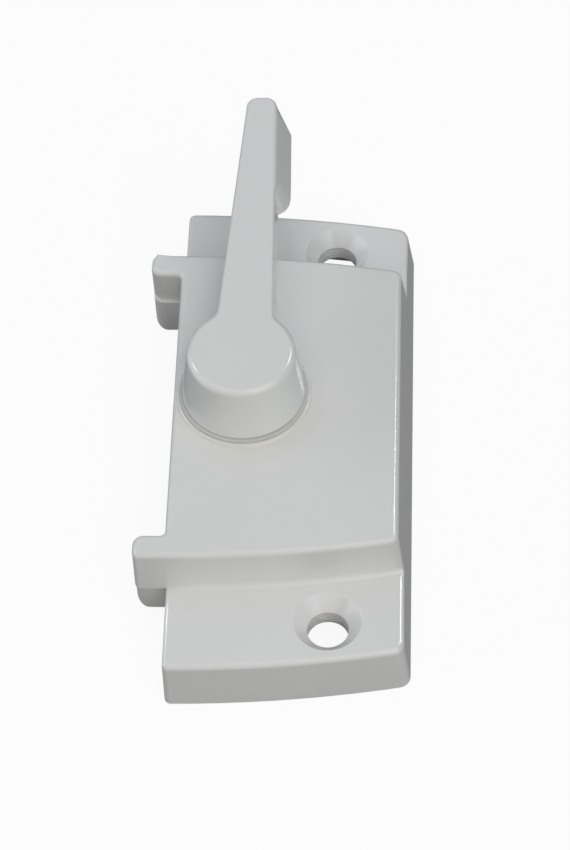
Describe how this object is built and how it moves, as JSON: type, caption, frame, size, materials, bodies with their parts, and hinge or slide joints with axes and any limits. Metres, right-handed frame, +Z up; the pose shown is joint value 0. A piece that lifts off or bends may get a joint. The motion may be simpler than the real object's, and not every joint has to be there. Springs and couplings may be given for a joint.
{
  "type": "window sweep lock",
  "caption": "Painted die-cast window sweep lock: a hollow case with screw ears and side lugs, and a lever on top that swings a hooked cam out between the lugs.",
  "frame": {"origin": "bottom centre of the whole lock, on the mounting face, with the lever along the case", "axes": "+Z up out of the mounting face, along the lever's pivot; +Y along the case, the way the unlocked lever points; +X across the case, away from the lugs"},
  "size_m": [0.0332, 0.079, 0.0211],
  "materials": {
    "white_paint": "gloss",
    "acetal": "satin",
    "zinc_plated_steel": "satin",
    "spring_steel": "satin"
  },
  "bodies": {
    "lock_body": {"lock_body": "white_paint", "pivot_bush": "acetal", "detent_spring": "spring_steel"},
    "lever": {"lever": "white_paint", "sweep_cam": "zinc_plated_steel", "wave_washer": "spring_steel", "retaining_washer": "zinc_plated_steel", "retaining_screw": "zinc_plated_steel"}
  },
  "joints": [
    {"name": "lever_turn", "type": "hinge", "parent": "lock_body", "child": "lever", "pos_m": [-0.00407, -0.00239, 0], "axis": [0, 0, -1], "range_deg": [0, 180], "deforming": ["detent_spring"]}
  ]
}
